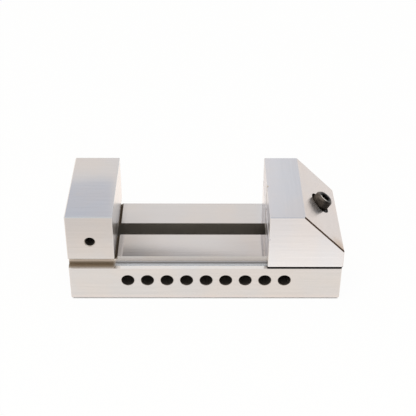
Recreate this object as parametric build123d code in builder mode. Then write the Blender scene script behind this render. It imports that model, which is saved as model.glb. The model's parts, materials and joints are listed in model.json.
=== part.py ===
"""Toolmakers vise: a ground steel block with a fixed jaw, and a sliding jaw that one leaning screw clamps.

Millimetres. The origin is the centre of the body's underside. +X runs from the fixed jaw to the sliding
jaw, +Z is up, and the body's tapped stop hole is on the -Y side.
"""

import os
from math import cos, radians, sin, tan

from build123d import *

# Body block
body_length = 190.0
body_width = 76.0
overall_height = 71.0
bed_height = 34.0
ledge_height = 28.4
ledge_width = 4.75
fixed_jaw_thickness = 32.2
foot_relief = 2.2

# Slot through the bed, and the wider channel below it
slot_width = 14.0
slot_end_wall = 5.6
slot_under_fixed_jaw = 12.0
channel_width = 28.0
channel_corner = 8.0

# Cross holes, whose upper halves are the nut's seats along the channel
cross_hole_diameter = 9.0
cross_hole_height = 17.0
cross_hole_first = 40.7
cross_hole_pitch = 13.7
cross_hole_count = 9

# Tapped hole for a work stop in the side of the fixed jaw
stop_hole_tap_drill = 6.8
stop_hole_from_end = 16.1
stop_hole_height = 50.4
stop_hole_depth = 20.0

# Sliding jaw, stored at the open end of the bed
jaw_top_length = 23.9
slope_run = 28.5
jaw_overhang = 0.6
skirt_gap = 0.4
vee_width = 3.0

# Clamp screw: its axis leans in the XZ plane, and turns about the centre of its head's top
screw_diameter = 8.0
screw_past_nut = 1.6
head_diameter = 13.0
head_height = 8.0
socket_across_flats = 6.0
socket_depth = 4.0
head_chamfer = 0.8
screw_angle = 56.0
screw_down_slope = 20.1
head_stand_out = 6.27
lean_range = 5.5

# Ball washer under the head, and the cone that it turns in
ball_radius = 12.0
washer_diameter = 14.0
seat_diameter = 16.8
seat_cone_angle = 120.0
seat_below_contact = 2.9

# Cross nut on the screw's end
nut_barrel_diameter = 13.0
nut_floor_gap = 0.44

# Keeper plate under the bed, and its two screws
keeper_thickness = 8.0
keeper_screw_diameter = 5.0
keeper_screw_length = 10.0
keeper_head_diameter = 8.5
keeper_head_height = 5.0
keeper_socket_across_flats = 4.0
keeper_screw_from_front = 7.0
keeper_screw_pitch = 10.0

# Clearances
slide_clearance = 0.05
bed_clearance = 0.02
ball_clearance = 0.04
thread_clearance = 0.05
shank_clearance = 0.5
washer_bore_clearance = 0.25
seat_bore_clearance = 1.5
journal_clearance = 0.1
keeper_clearance = 0.05
nut_side_clearance = 0.25
head_pocket_clearance = 0.35
end_clearance = 0.5

# Broken edges
block_chamfer = 0.6
slope_chamfer = 0.9
foot_chamfer = 1.7
overhang_chamfer = 2.0
ledge_slope_width = 2.1
ledge_slope_drop = 1.0
bed_chamfer = 0.9
gripping_chamfer = 0.25
skirt_chamfer = 0.2
hole_chamfer = 0.2
small_chamfer = 0.5

# Places that follow from the sizes above
body_start = -body_length / 2
body_end = body_length / 2
rail_width = body_width - 2 * ledge_width
fixed_face = body_start + fixed_jaw_thickness
jaw_end = body_end + jaw_overhang
slope_top = jaw_end - slope_run
sliding_face = slope_top - jaw_top_length
vee_height = (bed_height + overall_height) / 2
slot_start = fixed_face - slot_under_fixed_jaw
slot_end = body_end - slot_end_wall
pivot_x = slope_top + screw_down_slope * sin(radians(45)) + head_stand_out * cos(radians(screw_angle))
pivot_height = (
    overall_height - screw_down_slope * sin(radians(45)) + head_stand_out * sin(radians(screw_angle))
)
passage_radius = screw_diameter / 2 + shank_clearance
seat_contact_depth = ball_radius * sin(radians(seat_cone_angle / 2))
seat_contact_radius = ball_radius * cos(radians(seat_cone_angle / 2))
seat_floor_depth = seat_contact_depth + seat_below_contact
nut_depth = (pivot_height - nut_barrel_diameter / 2 - nut_floor_gap) / sin(radians(screw_angle))
screw_length = nut_depth + screw_past_nut - head_height
tongue_width = slot_width - 2 * slide_clearance
tongue_bottom = cross_hole_height - keeper_clearance
tongue_back = slot_end - end_clearance
keeper_bottom = tongue_bottom - keeper_thickness


def screw_plane(depth=0.0, lean=0.0):
    """The plane square to the screw, that far down it from the pivot, with its normal out of the head."""
    angle = radians(screw_angle + lean)
    out = Vector(cos(angle), 0, sin(angle))
    across = Vector(sin(angle), 0, -cos(angle))
    return Plane(Vector(pivot_x, 0, pivot_height) - out * depth, across, out)


def axis_x(height, lean=0.0, aside=0.0):
    """Where the screw's axis, or a line that far below and beside it, passes a height."""
    angle = radians(screw_angle + lean)
    drop = pivot_height - height - aside * cos(angle)
    return pivot_x - drop / tan(angle) + aside * sin(angle)


def edges_at(part, direction, x=None, y=None, z=None):
    """Straight edges along one direction whose middles are at x, at plus or minus y, and at z."""
    close = 0.01
    found = part.edges().filter_by(direction)
    if x is not None:
        found = found.filter_by(lambda edge: abs(edge.center().X - x) < close)
    if y is not None:
        found = found.filter_by(lambda edge: abs(abs(edge.center().Y) - y) < close)
    if z is not None:
        found = found.filter_by(lambda edge: abs(edge.center().Z - z) < close)
    return found


def rims_at(part, radius, y):
    """Round rims of that radius whose centres are at plus or minus y."""
    close = 0.01
    rims = part.edges().filter_by(GeomType.CIRCLE)
    rims = rims.filter_by(lambda edge: abs(edge.radius - radius) < close)
    return rims.filter_by(lambda edge: abs(abs(edge.arc_center.Y) - y) < close)


tongue_front_low = axis_x(tongue_bottom, 0, passage_radius) + small_chamfer
tongue_front_high = axis_x(bed_height, 0, passage_radius) + small_chamfer
tongue_middle_height = (tongue_bottom + bed_height) / 2

# Body: one block with the fixed jaw, ledges along both sides and the rail that the sliding jaw straddles
with BuildPart() as vise_body:
    with BuildSketch(Plane.YZ.offset(body_start)):
        with Locations((0, ledge_height / 2)):
            Rectangle(body_width, ledge_height)
        with Locations((0, (ledge_height + bed_height) / 2)):
            Rectangle(rail_width, bed_height - ledge_height)
    extrude(amount=body_length)
    with BuildSketch(Plane.XY.offset(bed_height)):
        with Locations(((body_start + fixed_face) / 2, 0)):
            Rectangle(fixed_jaw_thickness, body_width)
    extrude(amount=overall_height - bed_height)

    # Broken edges: the foot, the block's other outer edges, the jaw's overhang, the ledges and the bed
    chamfer(vise_body.faces().sort_by(Axis.Z)[0].edges(), foot_chamfer)
    chamfer(
        edges_at(vise_body, Axis.Y, x=body_start, z=overall_height)
        + edges_at(vise_body, Axis.X, y=body_width / 2, z=overall_height)
        + edges_at(vise_body, Axis.Z, x=body_start, y=body_width / 2)
        + edges_at(vise_body, Axis.Z, x=body_end, y=body_width / 2),
        block_chamfer,
    )
    chamfer(edges_at(vise_body, Axis.X, y=body_width / 2, z=bed_height), overhang_chamfer)
    for side in (0, -1):
        ledge = vise_body.faces().filter_by(Plane.XY).group_by(Axis.Z)[1].sort_by(Axis.Y)[side]
        rim = ledge.edges().filter_by(Axis.X).sort_by(Axis.Y)[side]
        chamfer(rim, ledge_slope_width, ledge_slope_drop, reference=ledge)
    chamfer(
        edges_at(vise_body, Axis.X, y=rail_width / 2, z=bed_height).filter_by(
            lambda edge: edge.center().X > fixed_face
        )
        + edges_at(vise_body, Axis.Y, x=body_end, z=bed_height),
        bed_chamfer,
    )
    chamfer(
        vise_body.edges().filter_by(
            lambda edge: abs(edge.center().X - fixed_face) < small_chamfer
            and edge.center().Z > bed_height + small_chamfer
        ),
        gripping_chamfer,
    )

    # Undercut in the corner between the bed and the fixed jaw's face
    with BuildSketch(Plane.XZ.offset(-body_width)):
        with Locations((fixed_face, bed_height)):
            Rectangle(foot_relief, foot_relief, rotation=45)
    extrude(amount=2 * body_width, mode=Mode.SUBTRACT)

    # The channel is milled from below and the slot from above, both with a round cutter
    with BuildSketch():
        with Locations(((slot_start + slot_end) / 2, 0)):
            RectangleRounded(slot_end - slot_start, channel_width, channel_corner)
    extrude(amount=cross_hole_height, mode=Mode.SUBTRACT)
    with BuildSketch(Plane.XY.offset(cross_hole_height)):
        with Locations(((slot_start + slot_end) / 2, 0)):
            SlotOverall(slot_end - slot_start, slot_width)
    extrude(amount=bed_height - cross_hole_height, mode=Mode.SUBTRACT)

    # The row of cross holes, drilled from side to side
    with BuildSketch(Plane.XZ.offset(body_width / 2)):
        row_centre = body_start + cross_hole_first + cross_hole_pitch * (cross_hole_count - 1) / 2
        with Locations((row_centre, cross_hole_height)):
            with GridLocations(cross_hole_pitch, cross_hole_pitch, cross_hole_count, 1):
                Circle(cross_hole_diameter / 2)
    extrude(amount=-body_width, mode=Mode.SUBTRACT)
    chamfer(rims_at(vise_body, cross_hole_diameter / 2, body_width / 2), hole_chamfer)

    # Blind tapped hole for a work stop
    with BuildSketch(Plane.XZ.offset(body_width / 2)):
        with Locations((body_start + stop_hole_from_end, stop_hole_height)):
            Circle(stop_hole_tap_drill / 2)
    extrude(amount=-stop_hole_depth, mode=Mode.SUBTRACT)
    chamfer(rims_at(vise_body, stop_hole_tap_drill / 2, body_width / 2), small_chamfer)

# Sliding jaw: a block with a 45 degree back, skirts down both sides of the rail and a tongue in the slot
with BuildPart() as movable_jaw:
    skirt_bottom = ledge_height + skirt_gap
    slope_bottom = overall_height - slope_run
    with BuildSketch(Plane.XZ):
        with BuildLine():
            Polyline(
                (sliding_face, skirt_bottom),
                (sliding_face, overall_height),
                (slope_top, overall_height),
                (jaw_end, slope_bottom),
                (jaw_end, skirt_bottom),
                close=True,
            )
        make_face()
    extrude(amount=body_width / 2, both=True)
    chamfer(
        edges_at(movable_jaw, Axis.X, y=body_width / 2, z=skirt_bottom)
        + edges_at(movable_jaw, Axis.Y, x=sliding_face, z=skirt_bottom),
        skirt_chamfer,
    )
    slope = movable_jaw.faces().sort_by(Axis((0, 0, 0), (1, 0, 1)))[-1]
    chamfer(slope.edges().filter_by(lambda edge: abs(edge.center().Y) > rail_width / 2), slope_chamfer)
    chamfer(edges_at(movable_jaw, Axis.X, y=body_width / 2, z=overall_height), block_chamfer)
    chamfer(edges_at(movable_jaw, Axis.Z, x=jaw_end, y=body_width / 2), block_chamfer)
    chamfer(edges_at(movable_jaw, Axis.Y, x=jaw_end, z=slope_bottom), block_chamfer)
    chamfer(
        movable_jaw.faces().sort_by(Axis.X)[0].edges().filter_by(
            lambda edge: edge.center().Z > skirt_bottom + small_chamfer
        ),
        gripping_chamfer,
    )

    # Room for the rail, with running clearance above and beside it
    with BuildSketch(Plane.YZ.offset(sliding_face)):
        with Locations((0, (ledge_height + bed_height + bed_clearance) / 2)):
            Rectangle(rail_width + 2 * slide_clearance, bed_height + bed_clearance - ledge_height)
    extrude(amount=2 * body_length, both=True, mode=Mode.SUBTRACT)

    # Vees that hold round work upright and level
    vee = [(-vee_width / 2, 0), (vee_width / 2, 0), (0, vee_width / 2)]
    with BuildSketch(Plane.XY.offset(bed_height - bed_clearance)):
        with BuildLine():
            Polyline(*[(sliding_face + depth, across) for across, depth in vee], close=True)
        make_face()
    extrude(amount=overall_height, mode=Mode.SUBTRACT)
    with BuildSketch(Plane.XZ.offset(-body_width)):
        with BuildLine():
            Polyline(
                *[(sliding_face + depth, vee_height + across) for across, depth in vee], close=True
            )
        make_face()
    extrude(amount=2 * body_width, mode=Mode.SUBTRACT)

    # Tongue: its front leans as the screw does and its back is round, as the slot's end is
    with BuildSketch(Plane.XY.offset(tongue_bottom)):
        with Locations((tongue_back - tongue_width / 2, 0)):
            Circle(tongue_width / 2)
        with Locations(((tongue_front_low + tongue_back - tongue_width / 2) / 2, 0)):
            Rectangle(tongue_back - tongue_width / 2 - tongue_front_low, tongue_width)
    extrude(amount=bed_height + 2 * bed_clearance - tongue_bottom)
    with BuildSketch(Plane.XZ):
        with BuildLine():
            Polyline(
                (tongue_front_low, tongue_bottom),
                (tongue_front_high, bed_height),
                (sliding_face, bed_height),
                (sliding_face, tongue_bottom),
                close=True,
            )
        make_face()
    extrude(amount=tongue_width, both=True, mode=Mode.SUBTRACT)

    # Recess for the head, bored along the screw, and the fan-shaped passage that lets the screw lean
    with BuildSketch(screw_plane(seat_floor_depth)):
        Circle(seat_diameter / 2)
    extrude(amount=ball_radius + seat_floor_depth, mode=Mode.SUBTRACT)
    passage_depth = (pivot_height - tongue_middle_height) / sin(radians(screw_angle))
    for lean in (-lean_range, 0):
        with BuildSketch(screw_plane(0, lean)):
            Circle(passage_radius)
        extrude(amount=-passage_depth, mode=Mode.SUBTRACT)
    with BuildSketch(Plane.XZ):
        with BuildLine():
            Polyline(
                (pivot_x, pivot_height),
                (axis_x(tongue_middle_height, -lean_range), tongue_middle_height),
                (axis_x(tongue_middle_height), tongue_middle_height),
                close=True,
            )
        make_face()
    extrude(amount=passage_radius, both=True, mode=Mode.SUBTRACT)

    # Tapped holes in the tongue for the keeper's screws
    keeper_front = tongue_front_low
    keeper_length = tongue_back - keeper_front
    keeper_screw_middle = keeper_front + keeper_screw_from_front + keeper_screw_pitch / 2
    keeper_seat_height = keeper_bottom + keeper_head_height + head_pocket_clearance
    with BuildSketch(Plane.XY.offset(tongue_bottom)):
        with Locations((keeper_screw_middle, 0)):
            with GridLocations(keeper_screw_pitch, keeper_screw_pitch, 2, 1):
                Circle(keeper_screw_diameter / 2 + thread_clearance)
    extrude(
        amount=keeper_seat_height + keeper_screw_length + end_clearance - tongue_bottom, mode=Mode.SUBTRACT
    )

# Cone ring that sits on the recess's floor
with BuildPart() as conical_seat:
    cone_slope = tan(radians(seat_cone_angle / 2))
    inner_radius = screw_diameter / 2 + seat_bore_clearance
    outer_radius = seat_diameter / 2
    inner_rise = (seat_contact_radius - inner_radius) / cone_slope
    outer_rise = (outer_radius - seat_contact_radius) / cone_slope
    with BuildSketch(Plane(screw_plane().origin, screw_plane().x_dir, (0, 1, 0))):
        with BuildLine():
            Polyline(
                (inner_radius, seat_floor_depth),
                (outer_radius, seat_floor_depth),
                (outer_radius, seat_contact_depth - outer_rise),
                (inner_radius, seat_contact_depth + inner_rise),
                close=True,
            )
        make_face()
    revolve(axis=Axis(screw_plane().origin, screw_plane().z_dir))

# Ball washer: flat on top, and part of a ball around the pivot below
with BuildPart() as ball_washer:
    ball = ball_radius - ball_clearance
    rim_radius = washer_diameter / 2
    bore_radius = screw_diameter / 2 + washer_bore_clearance
    rim_depth = (ball**2 - rim_radius**2) ** 0.5
    bore_depth = (ball**2 - bore_radius**2) ** 0.5
    with BuildSketch(Plane(screw_plane().origin, screw_plane().x_dir, (0, 1, 0))):
        with BuildLine():
            top = Line((bore_radius, head_height), (rim_radius, head_height))
            Line(top @ 1, (rim_radius, rim_depth))
            RadiusArc((rim_radius, rim_depth), (bore_radius, bore_depth), -ball)
            Line((bore_radius, bore_depth), top @ 0)
        make_face()
    revolve(axis=Axis(screw_plane().origin, screw_plane().z_dir))

# Clamp screw: a socket head cap screw
with BuildPart() as clamp_screw:
    with BuildSketch(screw_plane(head_height)):
        Circle(head_diameter / 2)
    extrude(amount=head_height)
    head_top = clamp_screw.faces().filter_by(lambda face: face.normal_at().dot(screw_plane().z_dir) > 0.99)
    chamfer(head_top.edges(), head_chamfer)
    with BuildSketch(screw_plane(head_height)):
        Circle(screw_diameter / 2)
    extrude(amount=-screw_length)
    tip = clamp_screw.edges().filter_by(GeomType.CIRCLE).sort_by(Axis.Z)[0]
    chamfer(tip, small_chamfer)
    with BuildSketch(screw_plane()):
        RegularPolygon(socket_across_flats / 2, 6, major_radius=False)
    extrude(amount=-socket_depth, mode=Mode.SUBTRACT)

# Cross nut: a tapped barrel in the slot, with a journal each side below the bed
with BuildPart() as cross_nut:
    nut_plane = Plane(screw_plane(nut_depth).origin, (1, 0, 0), (0, -1, 0))
    with BuildSketch(nut_plane):
        Circle(cross_hole_diameter / 2 - journal_clearance)
    extrude(amount=channel_width / 2 - end_clearance, both=True)
    chamfer(cross_nut.edges().filter_by(GeomType.CIRCLE), small_chamfer)
    with BuildSketch(nut_plane):
        Circle(nut_barrel_diameter / 2)
    extrude(amount=slot_width / 2 - nut_side_clearance, both=True)
    chamfer(rims_at(cross_nut, nut_barrel_diameter / 2, slot_width / 2 - nut_side_clearance), small_chamfer)
    with BuildSketch(screw_plane(nut_depth)):
        Circle(screw_diameter / 2 + thread_clearance)
    extrude(amount=nut_barrel_diameter, both=True, mode=Mode.SUBTRACT)

# Keeper plate: it runs in the channel under the bed and holds the jaw down
with BuildPart() as keeper_plate:
    with BuildSketch(Plane.XY.offset(keeper_bottom)):
        with Locations((keeper_front + keeper_length / 2, 0)):
            RectangleRounded(keeper_length, channel_width - 2 * end_clearance, channel_corner - end_clearance)
    extrude(amount=keeper_thickness)
    chamfer(keeper_plate.faces().sort_by(Axis.Z)[0].edges(), small_chamfer)
    with BuildSketch(Plane.XY.offset(keeper_bottom)):
        with Locations((keeper_screw_middle, 0)):
            with GridLocations(keeper_screw_pitch, keeper_screw_pitch, 2, 1):
                Circle(keeper_head_diameter / 2 + head_pocket_clearance)
    extrude(amount=keeper_seat_height - keeper_bottom, mode=Mode.SUBTRACT)
    with BuildSketch(Plane.XY.offset(keeper_bottom)):
        with Locations((keeper_screw_middle, 0)):
            with GridLocations(keeper_screw_pitch, keeper_screw_pitch, 2, 1):
                Circle(keeper_screw_diameter / 2 + shank_clearance / 2)
    extrude(amount=keeper_thickness, mode=Mode.SUBTRACT)


def keeper_screw(place):
    """A small socket head cap screw, head down in the keeper plate."""
    with BuildPart() as small_screw:
        with BuildSketch(Plane.XY.offset(keeper_seat_height - keeper_head_height)):
            with Locations((place, 0)):
                Circle(keeper_head_diameter / 2)
        extrude(amount=keeper_head_height)
        chamfer(small_screw.faces().sort_by(Axis.Z)[0].edges(), small_chamfer)
        with BuildSketch(Plane.XY.offset(keeper_seat_height)):
            with Locations((place, 0)):
                Circle(keeper_screw_diameter / 2)
        extrude(amount=keeper_screw_length)
        chamfer(small_screw.faces().sort_by(Axis.Z)[-1].edges(), small_chamfer)
        with BuildSketch(Plane.XY.offset(keeper_seat_height - keeper_head_height)):
            with Locations((place, 0)):
                RegularPolygon(keeper_socket_across_flats / 2, 6, major_radius=False)
        extrude(amount=keeper_head_height / 2, mode=Mode.SUBTRACT)
    return small_screw


front_keeper_screw = keeper_screw(keeper_screw_middle - keeper_screw_pitch / 2)
rear_keeper_screw = keeper_screw(keeper_screw_middle + keeper_screw_pitch / 2)

pieces = {
    "vise_body": vise_body,
    "movable_jaw": movable_jaw,
    "conical_seat": conical_seat,
    "ball_washer": ball_washer,
    "clamp_screw": clamp_screw,
    "cross_nut": cross_nut,
    "keeper_plate": keeper_plate,
    "front_keeper_screw": front_keeper_screw,
    "rear_keeper_screw": rear_keeper_screw,
}
os.makedirs("parts", exist_ok=True)
for name, piece in pieces.items():
    piece.part.label = name
    export_step(piece.part, f"parts/{name}.step")
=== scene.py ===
# %% [markdown]
# # A ground toolmakers vise
#
# This lesson dresses a vise of two ground steel blocks. The blocks are plain prisms, so almost
# nothing about them is shape and almost everything is surface: fine grinding lines that run one
# way on each face, crisp broken edges, rough milling down in the slot, and one black screw.
#
# The measured model comes in first and stays as it is. Every length below is in metres.

import json
from functools import reduce
from math import cos, pi, radians, tau
from types import SimpleNamespace

import bmesh
import bpy
from mathutils import Matrix, Vector


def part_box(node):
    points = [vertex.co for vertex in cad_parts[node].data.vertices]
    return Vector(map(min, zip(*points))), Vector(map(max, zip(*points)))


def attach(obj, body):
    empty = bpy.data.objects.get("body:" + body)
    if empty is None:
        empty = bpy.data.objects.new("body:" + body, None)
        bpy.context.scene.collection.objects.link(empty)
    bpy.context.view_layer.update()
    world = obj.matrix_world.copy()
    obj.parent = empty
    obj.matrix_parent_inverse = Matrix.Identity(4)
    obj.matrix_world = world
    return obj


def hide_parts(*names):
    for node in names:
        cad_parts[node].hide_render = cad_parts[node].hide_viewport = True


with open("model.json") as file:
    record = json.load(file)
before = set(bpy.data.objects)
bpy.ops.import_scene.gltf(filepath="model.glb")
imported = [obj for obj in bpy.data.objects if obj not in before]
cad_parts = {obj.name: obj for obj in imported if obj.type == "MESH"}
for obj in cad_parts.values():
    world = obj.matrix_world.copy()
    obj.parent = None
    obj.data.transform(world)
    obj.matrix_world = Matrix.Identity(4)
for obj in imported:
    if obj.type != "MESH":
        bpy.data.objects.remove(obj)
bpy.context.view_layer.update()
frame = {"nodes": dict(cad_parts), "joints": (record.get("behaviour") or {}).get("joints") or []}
nodes = frame["nodes"]
mm = 0.001
print("nodes:", sorted(nodes))

# %% [markdown]
# ## The camera
#
# The view looks down on the front of the vise at about 35 degrees, with a moderate tele lens.
# A camera could be aimed with a Track To constraint, but here its place and its three angles are
# known, so they are set directly: turn round Z, tip down, then roll a little about its own line of
# sight. The angles are in radians.

# %% Place the camera
camera_place = Vector((-0.002422, -0.56654, 0.44653))
turn, tip, roll = 0.0075, 0.6078, 0.0055
sensor_width = 36.0
frame_width_px = 416
focal_px = 969.06

camera_data = bpy.data.cameras.new("photo_camera")
camera_data.sensor_width = sensor_width
camera_data.lens = focal_px / frame_width_px * sensor_width
camera_data.clip_start = 0.01
camera_data.clip_end = 50
camera = bpy.data.objects.new("photo_camera", camera_data)
bpy.context.scene.collection.objects.link(camera)
camera.matrix_world = (
    Matrix.Translation(camera_place)
    @ Matrix.Rotation(-turn, 4, "Z")
    @ Matrix.Rotation(pi / 2 - tip, 4, "X")
    @ Matrix.Rotation(roll, 4, "Z")
)
bpy.context.scene.camera = camera
bpy.context.scene.view_settings.view_transform = "Standard"
print("lens:", round(camera_data.lens, 1), "mm")

# %% [markdown]
# ## Small helpers for node trees
#
# Every finish below is a tree of small steps: take a coordinate, make a mask or a pattern from
# it, and mix two colours. Writing each step as a short function keeps a material readable as a
# recipe. A socket can take a number, a colour or another step's output, and `feed` sorts out
# which. Most recipes then end as a list of layers, and `lay_over` puts them on one by one.


# %% Numbers and colours
def feed(tree, socket, value):
    """Puts a number or a colour in a socket, or links another step's output to it."""
    if isinstance(value, bpy.types.NodeSocket):
        tree.links.new(value, socket)
    else:
        socket.default_value = value


def calc(tree, operation, a, b=0.0):
    """One Math node."""
    node = tree.nodes.new("ShaderNodeMath")
    node.operation = operation
    feed(tree, node.inputs[0], a)
    feed(tree, node.inputs[1], b)
    return node.outputs[0]


def vector_calc(tree, operation, a, b):
    """One Vector Math node: a number for a dot product or a distance, and a vector for the rest."""
    node = tree.nodes.new("ShaderNodeVectorMath")
    node.operation = operation
    feed(tree, node.inputs[0], a)
    feed(tree, node.inputs[1], b)
    return node.outputs["Value" if operation in ("DOT_PRODUCT", "DISTANCE") else "Vector"]


def step_between(tree, value, start_at, end_at, start=0.0, end=1.0):
    """Goes smoothly from start to end while value goes from start_at to end_at, up or down."""
    node = tree.nodes.new("ShaderNodeMapRange")
    node.interpolation_type = "SMOOTHSTEP"
    feed(tree, node.inputs["Value"], value)
    ends = {"From Min": start_at, "From Max": end_at, "To Min": start, "To Max": end}
    for name, number in ends.items():
        node.inputs[name].default_value = number
    return node.outputs["Result"]


def blend_colours(tree, share, a, b, how="MIX"):
    """Mixes two colours; share 0 is the first one."""
    node = tree.nodes.new("ShaderNodeMix")
    node.data_type = "RGBA"
    node.blend_type = how
    feed(tree, node.inputs[0], share)
    feed(tree, node.inputs[6], a)
    feed(tree, node.inputs[7], b)
    return node.outputs[2]


def tint_colours(tree, share, colour, tint):
    """Multiplies a colour by a tint; share 0 leaves it as it is."""
    return blend_colours(tree, share, colour, tint, "MULTIPLY")


def blend_numbers(tree, share, a, b):
    """Mixes two numbers; share 0 is the first one."""
    node = tree.nodes.new("ShaderNodeMix")
    feed(tree, node.inputs[0], share)
    feed(tree, node.inputs[2], a)
    feed(tree, node.inputs[3], b)
    return node.outputs[0]


def blend_shaders(tree, share, a, b):
    """Mixes two shaders; share 0 is the first one."""
    node = tree.nodes.new("ShaderNodeMixShader")
    for socket, value in zip(node.inputs, (share, a, b)):
        feed(tree, socket, value)
    return node.outputs[0]


def lay_over(tree, base, *layers):
    """Lays each layer over what is there. A layer says how it mixes, where, and what it is."""
    for mix, mask, layer in layers:
        base = mix(tree, mask, base, layer)
    return base


print("number and colour helpers ready")


# %% Masks
def all_of(tree, *masks):
    """Where every mask is 1."""
    return reduce(lambda a, b: calc(tree, "MULTIPLY", a, b), masks)


def any_of(tree, *masks):
    """Where at least one mask is 1."""
    return reduce(lambda a, b: calc(tree, "MAXIMUM", a, b), masks)


def opposite(tree, mask):
    """1 where the mask is 0."""
    return calc(tree, "SUBTRACT", 1.0, mask)


def unsigned(tree, value):
    """A number without its sign."""
    return calc(tree, "ABSOLUTE", value)


def within(tree, value, low, high, soft=0.2 * mm):
    """1 while value lies between low and high, with soft ends."""
    rise = step_between(tree, value, low - soft / 2, low + soft / 2)
    fall = step_between(tree, value, high + soft / 2, high - soft / 2)
    return calc(tree, "MULTIPLY", rise, fall)


def close_to(tree, value, level, reach, soft=0.2 * mm):
    """1 while value is no further than reach from a level."""
    return within(tree, value, level - reach, level + reach, soft)


print("mask helpers ready")


# %% Coordinates, patterns and shaders
def split_up(tree, vector):
    """A vector's three numbers."""
    node = tree.nodes.new("ShaderNodeSeparateXYZ")
    feed(tree, node.inputs[0], vector)
    return node.outputs


def place_and_normal(tree):
    """The object coordinate and the face's direction."""
    coordinate = tree.nodes.new("ShaderNodeTexCoord").outputs
    return coordinate["Object"], coordinate["Normal"]


def distance_out(tree, a, b):
    """How far a point lies from an axis, from its two numbers across it."""
    squares = [calc(tree, "POWER", part, 2.0) for part in (a, b)]
    return calc(tree, "SQRT", calc(tree, "ADD", *squares))


def stretch(tree, vector, scale):
    """A Mapping node that stretches a coordinate."""
    node = tree.nodes.new("ShaderNodeMapping")
    feed(tree, node.inputs["Vector"], vector)
    node.inputs["Scale"].default_value = scale
    return node.outputs["Vector"]


def cloud(tree, vector, scale, detail=3.0, roughness=0.55):
    """A Noise node's grey value, centred on 0.5."""
    node = tree.nodes.new("ShaderNodeTexNoise")
    feed(tree, node.inputs["Vector"], vector)
    node.inputs["Scale"].default_value = scale
    node.inputs["Detail"].default_value = detail
    node.inputs["Roughness"].default_value = roughness
    return node.outputs["Fac"]


def empty_material(name):
    """A material, its empty tree, and the socket that the finished shader goes into."""
    material = bpy.data.materials.new(name)
    material.use_nodes = True
    tree = material.node_tree
    tree.nodes.clear()
    return material, tree, tree.nodes.new("ShaderNodeOutputMaterial").inputs["Surface"]


def metal(tree, surface, colour, roughness, metallic, height, depth):
    """Ends a recipe with a metal shader, tilted by a height pattern that is depth metres deep."""
    shader = tree.nodes.new("ShaderNodeBsdfPrincipled")
    feed(tree, shader.inputs["Base Color"], colour)
    feed(tree, shader.inputs["Roughness"], roughness)
    shader.inputs["Metallic"].default_value = metallic
    bump = tree.nodes.new("ShaderNodeBump")
    bump.inputs["Strength"].default_value = 1.0
    bump.inputs["Distance"].default_value = depth
    tree.links.new(height, bump.inputs["Height"])
    tree.links.new(bump.outputs["Normal"], shader.inputs["Normal"])
    tree.links.new(shader.outputs["BSDF"], surface)
    return shader


print("pattern and shader helpers ready")

# %% [markdown]
# ## The light
#
# Polished steel has hardly any colour of its own: it shows what stands around it. So the room is
# made twice. Matt surfaces get an even white sky and one large soft lamp, at a level where a
# colour renders about as it is written. Mirror rays get a quiet studio instead. The camera itself
# sees plain white.
#
# The studio's back wall is white in the middle, with a cool grey panel at the left and cool white
# at the right, and a soft shade comes over both sides higher up. Above 37 degrees the wall is much
# darker, most of all at the left, and the edge there leans a little. It draws the soft dark corner
# on the bed. Overhead the room is white again. The wall behind the camera is bright low down and
# greyer above, and one dark card stands far to the right, for the dark line along the sliding
# jaw's sloping edge. The panels were placed by comparing reflections with the photograph, so they
# suit the front view best, and a few are a little brighter than 1.
#
# A panel's edge is a pair of numbers, where it starts and where it is complete, on the part of the
# ray's direction that it goes by: sideways, ahead or upward.

# %% The back wall
back_white = (0.93, 0.93, 0.94, 1)
left_shade = (0.74, 0.72, 0.70, 1)
left_shade_side, left_shade_foot = (-0.035, -0.085), (0.57, 0.595)
cool_grey = (0.665, 0.73, 0.85, 1)
cool_grey_side, cool_grey_foot = (-0.084, -0.096), (0.540, 0.548)
cool_white = (0.90, 0.97, 1.04, 1)
cool_white_side = (0.056, 0.066)
far_right = (0.76, 0.83, 0.91, 1)
far_right_side = (0.068, 0.100)
right_shade = (0.80, 0.79, 0.80, 1)
right_shade_side, right_shade_foot = (0.0, 0.060), (0.583, 0.600)
upper_left = (0.21, 0.205, 0.21, 1)
upper_right = (0.485, 0.48, 0.49, 1)
upper_change, upper_foot = (-0.085, -0.012), (0.6050, 0.6105)
upper_lean = 0.066

world = bpy.data.worlds.new("studio")
bpy.context.scene.world = world
world.use_nodes = True
tree = world.node_tree
tree.nodes.clear()
direction = tree.nodes.new("ShaderNodeTexCoord").outputs["Generated"]
sideways, ahead, upward = split_up(tree, direction)


def panel_mask(side, foot):
    """Where a panel of the back wall is: past its side edge and above its foot."""
    return all_of(tree, step_between(tree, sideways, *side), step_between(tree, upward, *foot))


leaning = calc(tree, "SUBTRACT", upward, calc(tree, "MULTIPLY", sideways, upper_lean))
upper = blend_colours(tree, step_between(tree, sideways, *upper_change), upper_left, upper_right)
back_wall = lay_over(
    tree,
    back_white,
    (blend_colours, panel_mask(left_shade_side, left_shade_foot), left_shade),
    (blend_colours, panel_mask(cool_grey_side, cool_grey_foot), cool_grey),
    (blend_colours, step_between(tree, sideways, *cool_white_side), cool_white),
    (blend_colours, step_between(tree, sideways, *far_right_side), far_right),
    (blend_colours, panel_mask(right_shade_side, right_shade_foot), right_shade),
    (blend_colours, step_between(tree, leaning, *upper_foot), upper),
)
print("back wall steps:", len(tree.nodes))

# %% The rest of the studio, and the sky
front_low = (1.02, 1.10, 1.17, 1)
front_high = (0.72, 0.76, 0.80, 1)
front_change = (0.68, 0.74)
front_side = (0.15, -0.25)
overhead_white = (1.10, 1.14, 1.16, 1)
overhead_foot = (0.86, 0.94)
card_colour = (0.085, 0.06, 0.045, 1)
card_direction = Vector((0.913, -0.34, 0.233)).normalized()
card_half_angle, card_softness = radians(11), 0.3
even_sky = (0.72, 0.72, 0.72, 1)
plain_white = (1, 1, 1, 1)

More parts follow.
